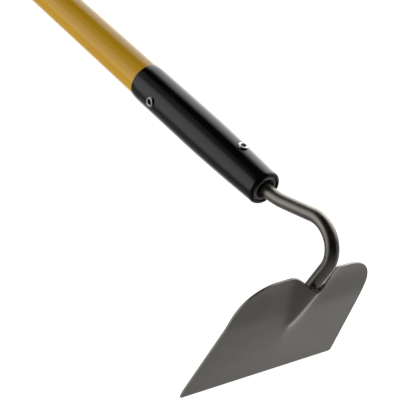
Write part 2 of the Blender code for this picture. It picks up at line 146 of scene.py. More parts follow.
RIVET_BODY_RADIUS = 0.0028
RIVET_BORE_RADIUS = 0.0020
RIVET_HEAD_RADIUS = 0.0043
RIVET_HEAD_HEIGHT = 0.0013
RIVET_HEAD_CORNER = 0.0002
RIVET_RIM_SHARE = 0.25
UPPER_RIVET_X = -0.1322
LOWER_RIVET_X = -0.0362

RIM_BEAD_REACH = 0.0082
RIM_BEAD_BITE = 0.0009
RIM_BEAD_LARGEST = 0.0022
RIM_BEAD_LEAN = 0.4
RIM_BEAD_RIPPLE = 0.0014
SIDE_WELD_RADIUS = 0.0021
SIDE_WELD_OUT = 0.0083
SIDE_WELD_BELOW = 0.0008
SIDE_WELD_START = 0.086
SIDE_WELD_END = 0.101
SIDE_WELD_RIPPLE = 0.0016
BEAD_SIDES = 24
BEAD_END_SIZE = 0.3
BEAD_END_SHARE = 8

CAP_LENGTH = 0.038
CAP_RADIUS = 0.0176
CAP_END_THICKNESS = 0.004
CAP_ROUNDING = 0.003
CAP_RIM_ROUNDING = 0.0008

# The camera, in the tool's axes
CAMERA_PLACE = Vector((0.5729, -0.6805, 0.5222))
CAMERA_RIGHT = Vector((0.58738, 0.7669, 0.25856))
CAMERA_DOWN = Vector((0.564, -0.15876, -0.81037))
CAMERA_FOCAL_LENGTH = 121.5
CAMERA_SENSOR = 36.0

# The studio. Glossy rays see a dark room with light walls, matt surfaces take a dome, and the floor glows.
# Each wall has the angles to its middle, right of the camera's view at rest and above it, the angles where it
# begins to fade and ends, and its strength. The walls stay where they are when the camera moves.
STUDIO_DARK = 0.015
STUDIO_DOME = 0.55
FLOOR_GLOW = 0.85
FLOOR_HALF_SIDE = 12
STUDIO_WALLS = (
    (8, 0, 12, 56, 1.15),
    (30, -45, 10, 55, 0.10),
    (0, -90, 20, 60, 0.16),
    (-102, 6, 3, 38, 1.1),
    (-100, 42, 5, 26, 0.25),
    (-60, -30, 12, 40, 0.2),
    (28, 50, 18, 44, 1.6),
    (75, 40, 15, 40, 1.1),
    (75, -10, 10, 50, 0.25),
)

ROUND_SIDES = 128
ROD_SIDES = 64


# Shaping


def arc(centre, radius, start, end, steps):
    """Points on a circle, from one angle to another, in degrees."""
    points = []
    for i in range(steps + 1):
        angle = math.radians(start + (end - start) * i / steps)
        points.append((centre[0] + radius * math.cos(angle), centre[1] + radius * math.sin(angle)))
    return points


def smooth_step(value):
    value = min(1.0, max(0.0, value))
    return value * value * (3 - 2 * value)


def turned(profile, closed=True, sides=ROUND_SIDES):
    """A body turned about the X axis from (x, radius) points. An open profile starts and ends on the axis."""
    body = bmesh.new()
    verts = [body.verts.new((x, 0.0, radius)) for x, radius in profile]
    edges = [body.edges.new(pair) for pair in zip(verts, verts[1:])]
    if closed:
        edges.append(body.edges.new((verts[-1], verts[0])))
    bmesh.ops.spin(body, geom=verts + edges, cent=(0, 0, 0), axis=(1, 0, 0),
                   angle=2 * math.pi, steps=sides, use_merge=True)
    bmesh.ops.remove_doubles(body, verts=body.verts, dist=1e-7)
    return body


def swept(path, tangents, radii, sides):
    """A round bar along a path, with its own radius at each point."""
    body = bmesh.new()
    rings = []
    side = tangents[0].orthogonal().normalized()
    for point, tangent, radius in zip(path, tangents, radii):
        side = (side - side.dot(tangent) * tangent).normalized()
        other = tangent.cross(side)
        ring = []
        for i in range(sides):
            turn = 2 * math.pi * i / sides
            ring.append(body.verts.new(point + radius * (math.cos(turn) * side + math.sin(turn) * other)))
        rings.append(ring)
    for ring, after in zip(rings, rings[1:]):
        for i in range(sides):
            body.faces.new((ring[i], ring[i - 1], after[i - 1], after[i]))
    body.faces.new(rings[0])
    body.faces.new(rings[-1])
    return body


def place(name, body, node, slot, material, tool, sharp=35):
    """Make a piece of a bmesh drawn in the tool's axes. It stands for one CAD node."""
    bmesh.ops.recalc_face_normals(body, faces=body.faces)
    bmesh.ops.transform(body, matrix=tool, verts=body.verts)
    mesh = bpy.data.meshes.new(name)
    body.to_mesh(mesh)
    body.free()
    mesh.shade_smooth()
    mesh.set_sharp_from_angle(angle=math.radians(sharp))
    mesh.materials.append(material)
    piece = bpy.data.objects.new(name, mesh)
    bpy.context.scene.collection.objects.link(piece)
    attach(piece, "root")
    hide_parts(node)
    return piece


def tool_axes(record):
    """The tool's axes in the row's frame: the butt end's mount gives the handle's line and its far end."""
    butt = next(mount for mount in record["mounts"] if mount["name"] == "butt_end")
    along = -Vector(butt["axis"]).normalized()
    right = Vector((0, 1, 0))
    away = along.cross(right)
    length = HANDLE_START + HANDLE_LENGTH + GAP + CAP_END_THICKNESS
    matrix = Matrix((along, right, away)).transposed().to_4x4()
    matrix.translation = Vector(butt["pos_m"]) + length * along
    return matrix


# Materials


class Nodes:
    """A material's or a world's node tree, with short calls for the nodes that this script uses."""

    def __init__(self, tree, tool):
        self.tree = tree
        self.turn = tool.to_3x3().inverted().to_euler()

    def add(self, kind, inputs=(), **settings):
        node = self.tree.nodes.new(kind)
        for name, value in settings.items():
            setattr(node, name, value)
        for name, value in dict(inputs).items():
            if isinstance(value, bpy.types.NodeSocket):
                self.tree.links.new(value, node.inputs[name])
            else:
                node.inputs[name].default_value = value
        return node

    def place_of(self, scale):
        """The point's place in the tool's axes, stretched by three factors."""
        where = self.add("ShaderNodeTexCoord").outputs["Object"]
        in_tool = self.add("ShaderNodeMapping", {"Vector": where, "Rotation": self.turn}).outputs["Vector"]
        return self.add("ShaderNodeMapping", {"Vector": in_tool, "Scale": scale}).outputs["Vector"]

    def noise(self, place, scale, detail=4.0, roughness=0.5):
        inputs = {"Vector": place, "Scale": scale, "Detail": detail, "Roughness": roughness}
        return self.add("ShaderNodeTexNoise", inputs).outputs["Fac"]

    def between(self, value, low, high, from_low=0.0, from_high=1.0):
        """The value, moved from one range to another and held inside it."""
        inputs = {"Value": value, "From Min": from_low, "From Max": from_high, "To Min": low, "To Max": high}
        return self.add("ShaderNodeMapRange", inputs).outputs["Result"]

    def blend(self, share, first, second):
        mix = self.add("ShaderNodeMix", data_type="RGBA")
        for socket, value in ((mix.inputs[0], share), (mix.inputs[6], first), (mix.inputs[7], second)):
            if isinstance(value, bpy.types.NodeSocket):
                self.tree.links.new(value, socket)
            else:
                socket.default_value = value if isinstance(value, float) else (*value, 1.0)
        return mix.outputs[2]

    def tint(self, value, low, high, first, second):
        """A colour that goes from the first to the second while the value goes from low to high."""
        return self.blend(self.between(value, 0.0, 1.0, low, high), first, second)

    def mixed(self, first, first_share, second, second_share):
        """The sum of two values, each times its own share."""
        first = self.maths(first, first_share, "MULTIPLY")
        return self.maths(first, self.maths(second, second_share, "MULTIPLY"))

    def maths(self, first, second, operation="ADD"):
        node = self.add("ShaderNodeMath", operation=operation)
        for socket, value in zip(node.inputs, (first, second)):
            if isinstance(value, bpy.types.NodeSocket):
                self.tree.links.new(value, socket)
            else:
                socket.default_value = value
        return node.outputs[0]

    def bump(self, height, strength, distance):
        inputs = {"Height": height, "Strength": strength, "Distance": distance}
        return self.add("ShaderNodeBump", inputs).outputs["Normal"]


def new_material(name, tool, **constants):
    """A material, its node helper and its shader with the constant sockets set."""
    material = bpy.data.materials.new(name)
    material.use_nodes = True
    nodes = Nodes(material.node_tree, tool)
    shader = material.node_tree.nodes["Principled BSDF"]
    for socket, value in constants.items():
        shader.inputs[socket.replace("_", " ")].default_value = value
    return material, nodes, shader


def link(nodes, shader, **sockets):
    for name, output in sockets.items():
        nodes.tree.links.new(output, shader.inputs[name.replace("_", " ")])


def fibreglass(tool):
    """Amber resin over fine glass fibres that run along the handle."""
    material, nodes, shader = new_material(
        "fibreglass", tool, Coat_Weight=1.0, Coat_Roughness=0.06, IOR=1.5, Specular_IOR_Level=0.08)
    fibres = nodes.noise(nodes.place_of((6, 900, 900)), 1.0, 3.0)
    bundles = nodes.noise(nodes.place_of((3, 160, 160)), 1.0, 2.0)
    mixed = nodes.mixed(fibres, 0.6, bundles, 0.4)
    colour = nodes.tint(mixed, 0.36, 0.64, (0.48, 0.245, 0.0015), (0.61, 0.345, 0.004))
    link(nodes, shader, Base_Color=colour, Roughness=nodes.between(fibres, 0.24, 0.36, 0.3, 0.7),
         Normal=nodes.bump(fibres, 0.10, 0.0002))
    return material


def black_enamel(tool):
    """Glossy black paint with a little orange peel and fine scuffs."""
    material, nodes, shader = new_material(
        "black_enamel", tool, Coat_Weight=0.85, Coat_Roughness=0.06, IOR=1.5, Specular_IOR_Level=0.1)
    shader.inputs["Base Color"].default_value = (0.0012, 0.0012, 0.0014, 1)
    peel = nodes.noise(nodes.place_of((1, 1, 1)), 420, 2.0)
    scuffs = nodes.noise(nodes.place_of((60, 700, 700)), 1.0, 5.0, 0.65)
    link(nodes, shader, Roughness=nodes.between(scuffs, 0.13, 0.34, 0.45, 0.75),
         Normal=nodes.bump(peel, 0.06, 0.0003))
    return material


def pressed_steel(tool):
    """The blade: satin rolled steel under clear lacquer, with a fine grain and faint rolling lines."""
    material, nodes, shader = new_material(
        "pressed_steel", tool, Metallic=1.0, Coat_Weight=0.15, Coat_Roughness=0.15)
    grain = nodes.noise(nodes.place_of((1, 1, 1)), 1500, 3.0, 0.6)
    clouds = nodes.noise(nodes.place_of((1, 1, 1)), 55, 4.0, 0.6)
    rolling = nodes.noise(nodes.place_of((900, 900, 12)), 1.0, 3.0)
    tone = nodes.mixed(grain, 0.45, clouds, 0.55)
    colour = nodes.tint(tone, 0.34, 0.66, (0.185, 0.172, 0.147), (0.240, 0.224, 0.193))
    surface = nodes.maths(grain, nodes.maths(rolling, 0.6, "MULTIPLY"))
    link(nodes, shader, Base_Color=colour, Roughness=nodes.between(clouds, 0.30, 0.40, 0.3, 0.7),
         Normal=nodes.bump(surface, 0.12, 0.0002))
    return material


def sheared_rim_with_painted_highlight(tool):
    """The blade's cut rim, with fine shear lines through its thickness. Its brighter colour is partly bare
    steel and partly a painted highlight, standing in for the thin lit line along the rim.
    """
    material, nodes, shader = new_material("sheared_rim_with_painted_highlight", tool, Metallic=1.0)
    lines = nodes.noise(nodes.place_of((500, 2600, 500)), 1.0, 3.0)
    # Painted highlight in part: this brighter steel colour stands in for the lit line along the rim.
    colour = nodes.tint(lines, 0.35, 0.65, (0.30, 0.285, 0.255), (0.48, 0.465, 0.430))
    link(nodes, shader, Base_Color=colour, Roughness=nodes.between(lines, 0.42, 0.58, 0.3, 0.7),
         Normal=nodes.bump(lines, 0.3, 0.0002))
    return material


def drawn_steel(tool):
    """The neck: a drawn and bent rod, smoother than the blade, with a fine grain."""
    material, nodes, shader = new_material(
        "drawn_steel", tool, Metallic=1.0, Coat_Weight=0.2, Coat_Roughness=0.1)
    grain = nodes.noise(nodes.place_of((1, 1, 1)), 1300, 3.0, 0.6)
    clouds = nodes.noise(nodes.place_of((1, 1, 1)), 90, 4.0, 0.6)
    colour = nodes.tint(clouds, 0.34, 0.66, (0.235, 0.219, 0.192), (0.300, 0.282, 0.250))
    link(nodes, shader, Base_Color=colour, Roughness=nodes.between(clouds, 0.26, 0.36, 0.3, 0.7),
         Normal=nodes.bump(grain, 0.10, 0.0002))
    return material


def weld_scale_and_painted_shade(tool):
    """Weld beads with scale and fine spatter. Their dark colour is partly heat scale and partly painted
    shade, standing in for the shadow in the recess round the neck's foot.
    """
    material, nodes, shader = new_material("weld_scale_and_painted_shade", tool, Metallic=0.8)
    scale = nodes.noise(nodes.place_of((1, 1, 1)), 700, 5.0, 0.6)
    # Painted shade in part: these dark colours stand partly for the shadow round the neck's foot and partly
    # for heat scale.
    colour = nodes.tint(scale, 0.4, 0.6, (0.030, 0.027, 0.023), (0.170, 0.160, 0.142))
    link(nodes, shader, Base_Color=colour, Roughness=nodes.between(scale, 0.25, 0.6, 0.35, 0.65),
         Normal=nodes.bump(scale, 0.5, 0.0004))
    return material


def zinc(tool):
    """Bright plated rivets."""
    material, nodes, shader = new_material("zinc", tool, Metallic=1.0)
    marks = nodes.noise(nodes.place_of((1, 1, 1)), 900, 4.0, 0.6)
    colour = nodes.blend(marks, (0.50, 0.50, 0.49), (0.72, 0.72, 0.70))
    link(nodes, shader, Base_Color=colour, Roughness=nodes.between(marks, 0.14, 0.30, 0.3, 0.7),
         Normal=nodes.bump(marks, 0.15, 0.0002))
    return material


def cast_grey(tool):
    """The adapter in the ferrule's mouth: dull grey die casting."""
    material, nodes, shader = new_material("cast_grey", tool, Metallic=0.5)
    pores = nodes.noise(nodes.place_of((1, 1, 1)), 1100, 5.0, 0.6)
    colour = nodes.blend(pores, (0.10, 0.10, 0.096), (0.19, 0.19, 0.18))
    link(nodes, shader, Base_Color=colour, Roughness=nodes.between(pores, 0.42, 0.62, 0.3, 0.7),
         Normal=nodes.bump(pores, 0.3, 0.0003))
    return material


def dark_filler(tool):
    """Dull dark filler round the tang."""
    material, nodes, shader = new_material("dark_filler", tool)
    lumps = nodes.noise(nodes.place_of((1, 1, 1)), 600, 5.0, 0.6)
    colour = nodes.blend(lumps, (0.010, 0.011, 0.006), (0.040, 0.042, 0.026))
    link(nodes, shader, Base_Color=colour, Roughness=nodes.between(lumps, 0.55, 0.85, 0.3, 0.7),
         Normal=nodes.bump(lumps, 0.5, 0.0004))
    return material


def vinyl(tool):
    """Semi matt black vinyl with a fine moulded texture."""
    material, nodes, shader = new_material("vinyl", tool)
    texture = nodes.noise(nodes.place_of((1, 1, 1)), 2200, 3.0, 0.6)
    dust = nodes.noise(nodes.place_of((1, 1, 1)), 60, 4.0)
    colour = nodes.blend(dust, (0.010, 0.010, 0.010), (0.028, 0.027, 0.026))
    link(nodes, shader, Base_Color=colour, Roughness=nodes.between(dust, 0.42, 0.60, 0.3, 0.7),
         Normal=nodes.bump(texture, 0.25, 0.0002))
    return material


# Handle and ferrule


def ferrule_outer_radius(s):
    """The ferrule's outer radius at a distance s from its mouth: straight, then drawn in to the mouth."""
    if s >= FERRULE_TAPER_LENGTH:
        return FERRULE_RADIUS
    share = (FERRULE_TAPER_LENGTH - s) / FERRULE_TAPER_LENGTH
    return FERRULE_RADIUS - (FERRULE_RADIUS - FERRULE_MOUTH_RADIUS) * share ** FERRULE_TAPER_POWER


def make_handle(tool):
    inner = HANDLE_RADIUS - HANDLE_WALL
    start, end = -HANDLE_START, -HANDLE_START - HANDLE_LENGTH
    profile = [(start, HANDLE_RADIUS), (end, HANDLE_RADIUS), (end, inner), (start, inner)]
    place("fibreglass_tube", turned(profile), "handle_tube", "fibreglass", fibreglass(tool), tool)


def make_ferrule(tool):
    """The enamelled sleeve, with a rounded mouth rim and a soft shoulder where it meets the handle."""
    centre = (-FERRULE_MOUTH_ROUNDING, ferrule_outer_radius(FERRULE_MOUTH_ROUNDING) - FERRULE_MOUTH_ROUNDING)
    lip = (-FERRULE_LIP_ROUNDING, FERRULE_LIP_RADIUS + FERRULE_LIP_ROUNDING)
    profile = [(-FERRULE_LIP_FACE, FERRULE_LIP_RADIUS)] + arc(lip, FERRULE_LIP_ROUNDING, 270, 360, 6)
    profile += arc(centre, FERRULE_MOUTH_ROUNDING, 0, FERRULE_MOUTH_ARC, 16)
    taper_steps = 40
    for i in range(1, taper_steps + 1):
        s = FERRULE_TAPER_START + (FERRULE_TAPER_LENGTH - FERRULE_TAPER_START) * i / taper_steps
        profile.append((-s, ferrule_outer_radius(s)))
    rim = HANDLE_RADIUS + FERRULE_REAR_RIM
    steps = 12
    for i in range(steps + 1):
        share = i / steps
        s = FERRULE_LENGTH - FERRULE_SHOULDER_LENGTH * (1 - share)
        profile.append((-s, FERRULE_RADIUS - (FERRULE_RADIUS - rim) * share ** 2))
    bore = HANDLE_RADIUS + GAP
    profile += [(-FERRULE_LENGTH, bore), (-FERRULE_TAPER_LENGTH, bore)]
    profile.append((-FERRULE_INNER_START, ferrule_outer_radius(FERRULE_INNER_START) - FERRULE_WALL))
    profile.append((-FERRULE_LIP_DEPTH, FERRULE_LIP_RADIUS + FERRULE_LIP_STEP))
    place("enamelled_ferrule", turned(profile), "ferrule", "black_paint", black_enamel(tool), tool)


def make_adapter(tool):
    """The grey insert whose front shows in the ferrule's mouth. Its spigot plugs the handle."""
    bore = NECK_RADIUS + GAP
    nose = FERRULE_LIP_RADIUS - GAP
    edge = ADAPTER_EDGE_ROUNDING
    shoulder = FERRULE_LIP_DEPTH + GAP
    body_end = HANDLE_START - GAP
    spigot = HANDLE_RADIUS - HANDLE_WALL - GAP
    profile = [(-body_end, spigot), (-ADAPTER_SPIGOT_END, spigot), (-ADAPTER_SPIGOT_END, bore)]
    profile += [(-ADAPTER_RECESS_DEPTH, bore), (-ADAPTER_RECESS_DEPTH, ADAPTER_RECESS_RADIUS)]
    profile.append((-ADAPTER_FACE - 2 * edge, ADAPTER_RECESS_RADIUS + edge))
    profile += arc((-ADAPTER_FACE - edge, ADAPTER_RECESS_RADIUS + edge), edge, -90, 0, 5)
    profile += arc((-ADAPTER_FACE - edge, nose - edge), edge, 0, 90, 5)
    profile.append((-shoulder, nose))
    steps = 24
    for i in range(steps + 1):
        s = shoulder + (body_end - shoulder) * i / steps
        limit = min(HANDLE_RADIUS + GAP, ferrule_outer_radius(s) - FERRULE_WALL)
        profile.append((-s, limit - ADAPTER_CLEARANCE))
    place("adapter_face", turned(profile), "tang_adapter", "grey_insert", cast_grey(tool), tool)


def make_seal(tool):
    """Filler that sags from the adapter's recess to the neck."""
    inner = NECK_RADIUS + SEAL_CLEARANCE
    outer = ADAPTER_RECESS_RADIUS - SEAL_CLEARANCE
    back = -ADAPTER_RECESS_DEPTH + GAP
    profile = [(back, inner)]
    steps = 10
    for i in range(steps + 1):
        share = i / steps
        dip = SEAL_SAG * math.sin(math.pi * share)
        profile.append((-SEAL_FACE + SEAL_RISE * (1 - share) - dip, inner + (outer - inner) * share))
    profile.append((back, outer))
    place("filler_ring", turned(profile), "shank_seal", "dark_filler", dark_filler(tool), tool)


def make_cap(tool):
    """The vinyl cap on the butt end, with a rolled open rim."""
    butt = -HANDLE_START - HANDLE_LENGTH
    end = butt - GAP - CAP_END_THICKNESS
    bore = HANDLE_RADIUS + GAP
    corner = (end + CAP_ROUNDING, CAP_RADIUS - CAP_ROUNDING)
    rim = (end + CAP_LENGTH - CAP_RIM_ROUNDING, CAP_RADIUS - CAP_RIM_ROUNDING)
    profile = [(end, 0.0)] + arc(corner, CAP_ROUNDING, 180, 90, 16) + arc(rim, CAP_RIM_ROUNDING, 90, 0, 6)
    profile += [(end + CAP_LENGTH, bore), (butt - GAP, bore), (butt - GAP, 0.0)]
    place("vinyl_cap", turned(profile, closed=False), "butt_cap", "black_vinyl", vinyl(tool), tool)


def make_rivet(name, node, x, reach, along_y, material, tool):
    """A tubular rivet, with a rolled head at each end."""
    seat = reach + GAP
    roll = (RIVET_HEAD_RADIUS - RIVET_BORE_RADIUS) / 2
    mid = (RIVET_HEAD_RADIUS + RIVET_BORE_RADIUS) / 2
    half = [(seat, RIVET_BODY_RADIUS), (seat, RIVET_HEAD_RADIUS - RIVET_HEAD_CORNER)]
    steps = 14
    for i in range(steps + 1):
        turn = math.pi * i / steps
        height = RIVET_HEAD_HEIGHT * (RIVET_RIM_SHARE + (1 - RIVET_RIM_SHARE) * math.sin(turn))
        half.append((seat + height, mid + roll * math.cos(turn)))
    profile = half + [(-a, radius) for a, radius in reversed(half)]
    body = turned(profile, sides=ROD_SIDES)
    turn = Matrix.Rotation(math.pi / 2, 4, "Z" if along_y else "Y")
    bmesh.ops.transform(body, matrix=Matrix.Translation((x, 0, 0)) @ turn, verts=body.verts)
    place(name, body, node, "rivet_metal", material, tool)


# Neck


def neck_path():
    """Points and tangents down the middle of the bent rod, from the end of its tang to its point."""
    runs = [(TANG_LENGTH + NECK_RISE_START, 0.0, 12),
            (NECK_RISE_RADIUS * NECK_RISE_ANGLE, NECK_RISE_ANGLE, 16),
            (NECK_CREST_LENGTH, 0.0, 12),
            (NECK_TURN_RADIUS * NECK_TURN_ANGLE, -NECK_TURN_ANGLE, 64),
            (NECK_END_LENGTH - NECK_POINT_LENGTH, 0.0, 8),
            (NECK_POINT_LENGTH, 0.0, 16)]
    heading = 0.0
    point = Vector((-TANG_LENGTH, 0, 0))
    points, tangents = [point.copy()], [Vector((1, 0, 0))]
    for length, turn, steps in runs:
        for _ in range(steps):
            chord = heading + turn / steps / 2
            point = point + length / steps * Vector((math.cos(chord), 0, math.sin(chord)))
            heading += turn / steps
            points.append(point.copy())
            tangents.append(Vector((math.cos(heading), 0, math.sin(heading))))
    return points, tangents


def make_neck(material, tool):
    points, tangents = neck_path()
    radii = []
    for point in points:
        left = (points[-1] - point).length
        share = min(1.0, left / NECK_POINT_LENGTH) if point.x > 0 and point.z < 0 else 1.0
        radii.append(NECK_POINT_RADIUS + (NECK_RADIUS - NECK_POINT_RADIUS) * share ** NECK_POINT_POWER)
    place("steel_neck", swept(points, tangents, radii, ROD_SIDES), "gooseneck", "neck_steel", material, tool)


# Blade. Its own axes are: up from the cutting edge, out to one side, and proud of the face.


def blade_axes():
    up = Vector((math.sin(BLADE_LEAN), 0, math.cos(BLADE_LEAN)))
    proud = Vector((math.cos(BLADE_LEAN), 0, -math.sin(BLADE_LEAN)))
    return Vector((BLADE_EDGE_X, 0, BLADE_EDGE_Z)), up, proud


def on_blade(up_by, out_by, proud_by):
    """A point of the blade's axes in the tool's axes."""
    corner, up, proud = blade_axes()
    return corner + up_by * up + Vector((0, out_by, 0)) + proud_by * proud


def lower_of(first, second, rounding):
    """The lower of two heights, with a rounded corner where they cross."""
    return (first + second - math.hypot(first - second, rounding)) / 2


def higher_of(first, second, rounding):
    """The higher of two heights, with a rounded corner where they cross."""
    return (first + second + math.hypot(first - second, rounding)) / 2


def ear_height(up_by, out_by):
    """The nearly flat ears: a little higher towards the middle, and pressed back towards the rear edge."""
    half_width = BLADE_HALF_WIDTH - BLADE_SIDE_TAPER * up_by
    rise = EAR_RISE * max(0.0, 1 - out_by / half_width) * smooth_step(up_by / EAR_RISE_LENGTH)
    return rise - EAR_DROOP * smooth_step((up_by - EAR_DROOP_START) / EAR_DROOP_LENGTH)


def face_height(up_by, out_by):
    """How far the outer face stands proud of the plane through the cutting edge and the sides."""
    out_by = abs(out_by)
    sheet = ear_height(up_by, out_by)
    back = RIB_CREST_AT_NOTCH + RIB_CREST_SLOPE * (up_by - NOTCH_UP)
    nose = RIB_NOSE_HEIGHT + RIB_NOSE_SLOPE * (up_by - RIB_NOSE_AT)
    crest = lower_of(back, nose, RIB_NOSE_BLEND)
    rib = crest + RIB_CREST_ROUNDING - math.hypot(RIB_FLANK_SLOPE * out_by, RIB_CREST_ROUNDING)
    fade = smooth_step((up_by - BLADE_BEVEL_LENGTH) / RIB_FADE_LENGTH)
    return sheet + fade * (higher_of(rib, sheet, FOLD_ROUNDING) - sheet)


def face_normal(up_by, out_by):
    """The outer face's normal, in the blade's axes."""
    step = 1e-4
    slope_up = (face_height(up_by + step, out_by) - face_height(up_by - step, out_by)) / (2 * step)
    slope_out = (face_height(up_by, out_by + step) - face_height(up_by, out_by - step)) / (2 * step)
    return Vector((-slope_up, -slope_out, 1)).normalized()


def tangent_angle(first, first_radius, second, second_radius):
    """The angle of the normal that two circles share on their outer common tangent."""
    towards = second - first
    lean = math.acos((first_radius - second_radius) / towards.length)
    return math.atan2(towards.y, towards.x) + lean


def rear_outline():
    """Half of the blade's rear edge, from the notch to the top of its straight side."""
    notch = Vector((NOTCH_UP, 0))
    back = INNER_LOBE_CENTRE - notch
    notch_angle = math.atan2(-back.y, -back.x) + math.acos(INNER_LOBE_RADIUS / back.length)
    shared = tangent_angle(LOBE_CENTRE, LOBE_RADIUS, INNER_LOBE_CENTRE, INNER_LOBE_RADIUS)
    if shared > math.radians(60):
        shared -= 2 * math.pi
    side_angle = math.pi / 2 - math.atan(BLADE_SIDE_TAPER)
    inner = arc(INNER_LOBE_CENTRE, INNER_LOBE_RADIUS, math.degrees(notch_angle), math.degrees(shared), 24)
    outer = arc(LOBE_CENTRE, LOBE_RADIUS, math.degrees(shared), math.degrees(side_angle), 60)
    flank_steps = 10
    flank = [notch.lerp(Vector(inner[0]), i / flank_steps) for i in range(flank_steps)]
    return [Vector(point) for point in flank + inner + outer]


def evenly(points, count, power=1.0):
    """Points at growing distances along a polyline."""
    lengths = [0.0]
    for first, second in zip(points, points[1:]):
        lengths.append(lengths[-1] + (second - first).length)
    spaced = []
    for i in range(count + 1):
        target = lengths[-1] * (i / count) ** power
        j = max(k for k in range(len(points) - 1) if lengths[k] <= target + 1e-12)
        share = (target - lengths[j]) / (lengths[j + 1] - lengths[j])
        spaced.append(points[j].lerp(points[j + 1], share))
    return spaced


def blade_grid(columns, rows):
    """A grid of (up, out) points over half of the blade: between its middle, edge, side and rear outline."""
    outline = rear_outline()
    shoulder = len(outline) - SIDE_OUTLINE_POINTS
    rear = evenly(outline[:shoulder + 1], columns, GRID_GROWTH)
    corner = Vector((0, BLADE_HALF_WIDTH))
    side_line = [corner + Vector((CORNER_RADIUS, -BLADE_SIDE_TAPER * CORNER_RADIUS))]
    side = [Vector((0, BLADE_HALF_WIDTH - CORNER_RADIUS))]
    side += evenly(side_line + outline[:shoulder - 1:-1], rows - 1)
    edge = [Vector((0, side[0].y * (i / columns) ** GRID_GROWTH)) for i in range(columns + 1)]
    middle = [Vector((NOTCH_UP * j / rows, 0)) for j in range(rows + 1)]
    grid = []
    for j in range(rows + 1):
        v = j / rows
        row = []
        for i in range(columns + 1):
            u = (i / columns) ** GRID_GROWTH
            blend = (1 - v) * edge[i] + v * rear[i] + (1 - u) * middle[j] + u * side[j]
            at_edge = (1 - u) * (1 - v) * edge[0] + u * (1 - v) * edge[-1]
            corners = at_edge + (1 - u) * v * rear[0] + u * v * rear[-1]
            row.append(blend - corners)
        grid.append(row)
    return grid


def make_blade(tool):
    """The pressed blade: both faces from one grid, joined round the rim, with its sheared edges softened."""
    half = blade_grid(BLADE_COLUMNS, BLADE_ROWS)
    grid = [[Vector((p.x, -p.y)) for p in row[:0:-1]] + row for row in half]
    body = bmesh.new()
    outer, inner = [], []
    for row in grid:
        outer_row, inner_row = [], []
        for point in row:
            height = face_height(point.x, point.y)
            normal = face_normal(point.x, point.y)
            ground = min(1.0, point.x / BLADE_BEVEL_LENGTH)
            thickness = BLADE_EDGE_THICKNESS + (BLADE_THICKNESS - BLADE_EDGE_THICKNESS) * ground
            under = Vector((point.x, point.y, height)) - thickness * normal
            under.x = max(0.0, under.x)
            outer_row.append(body.verts.new(on_blade(point.x, point.y, height)))
            inner_row.append(body.verts.new(on_blade(*under)))
        outer.append(outer_row)
        inner.append(inner_row)
    for j in range(len(grid) - 1):
        for i in range(len(grid[0]) - 1):
            body.faces.new((outer[j][i], outer[j][i + 1], outer[j + 1][i + 1], outer[j + 1][i]))
            body.faces.new((inner[j][i], inner[j + 1][i], inner[j + 1][i + 1], inner[j][i + 1]))
    rim = []
    for j in range(len(grid) - 1):
        for i in (0, -1):
            rim.append(body.faces.new((outer[j][i], outer[j + 1][i], inner[j + 1][i], inner[j][i])))
    for i in range(len(grid[0]) - 1):
        for j in (0, -1):
            rim.append(body.faces.new((outer[j][i], outer[j][i + 1], inner[j][i + 1], inner[j][i])))
    # The rim faces take the second material, whose brighter colour is partly a painted highlight for the lit
    # line along the rim.
    for face in rim:
        face.material_index = 1
    blade = place("pressed_blade", body, "blade", "blade_steel", pressed_steel(tool), tool,
                  BLADE_SHARP_ANGLE)
    blade.data.materials.append(sheared_rim_with_painted_highlight(tool))
    bevel = blade.modifiers.new("sheared_edge", "BEVEL")
    bevel.width = SHEARED_EDGE
    bevel.segments = 2
    bevel.limit_method = "ANGLE"
    bevel.angle_limit = math.radians(BLADE_SHARP_ANGLE)
    bevel.harden_normals = True


# Welds


def neck_under_rib():
    """The neck's line in the blade's axes: its height over the plane at a distance up the blade."""
    points, tangents = neck_path()
    corner, up, proud = blade_axes()
    end = points[-1] - corner
    run = -tangents[-1]
    slope = run.dot(proud) / run.dot(up)
    return lambda up_by: end.dot(proud) + slope * (up_by - end.dot(up))


def bead(path, radii, ripple):
    """A weld bead: a bar along a path whose radii swell and shrink with each ripple, drawn in at its ends."""
    last = len(path) - 1
    tangents, swollen = [], []
    travelled = 0.0
    for i, point in enumerate(path):
        before, after = path[max(0, i - 1)], path[min(last, i + 1)]
        tangents.append((after - before).normalized())
        travelled += (point - path[max(0, i - 1)]).length
        share = min(1.0, min(i, last - i) / (last / BEAD_END_SHARE))
        drawn_in = BEAD_END_SIZE + (1 - BEAD_END_SIZE) * math.sin(share * math.pi / 2)
        waves = travelled / ripple
        swell = 1 + 0.08 * math.sin(2 * math.pi * waves) + 0.04 * math.sin(9.7 * waves)
        swollen.append(radii[i] * drawn_in * swell)
    return swept(path, tangents, swollen, BEAD_SIDES)


def make_rim_weld(material, tool):
    """The bead between the notch's edge and the neck, round the neck's upper side."""
    line = neck_under_rib()
    steps = 120
    path, radii = [], []
    for i in range(steps + 1):
        out_by = RIM_BEAD_REACH * (2 * i / steps - 1)
        up_by = NOTCH_UP + NOTCH_FLANK * abs(out_by)
        height = face_height(up_by, out_by) - BLADE_THICKNESS / 2 - line(up_by)
        towards = Vector((out_by, height))
        gap = towards.length - NECK_RADIUS
        middle = (NECK_RADIUS + gap / 2) * towards.normalized()
        radius = min(RIM_BEAD_LARGEST, gap / 2 + RIM_BEAD_BITE)
        path.append(on_blade(up_by + RIM_BEAD_LEAN * radius, middle.x, line(up_by) + middle.y))
        radii.append(radius)
    place("rim_bead", bead(path, radii, RIM_BEAD_RIPPLE), "rim_weld", "weld_steel", material, tool)


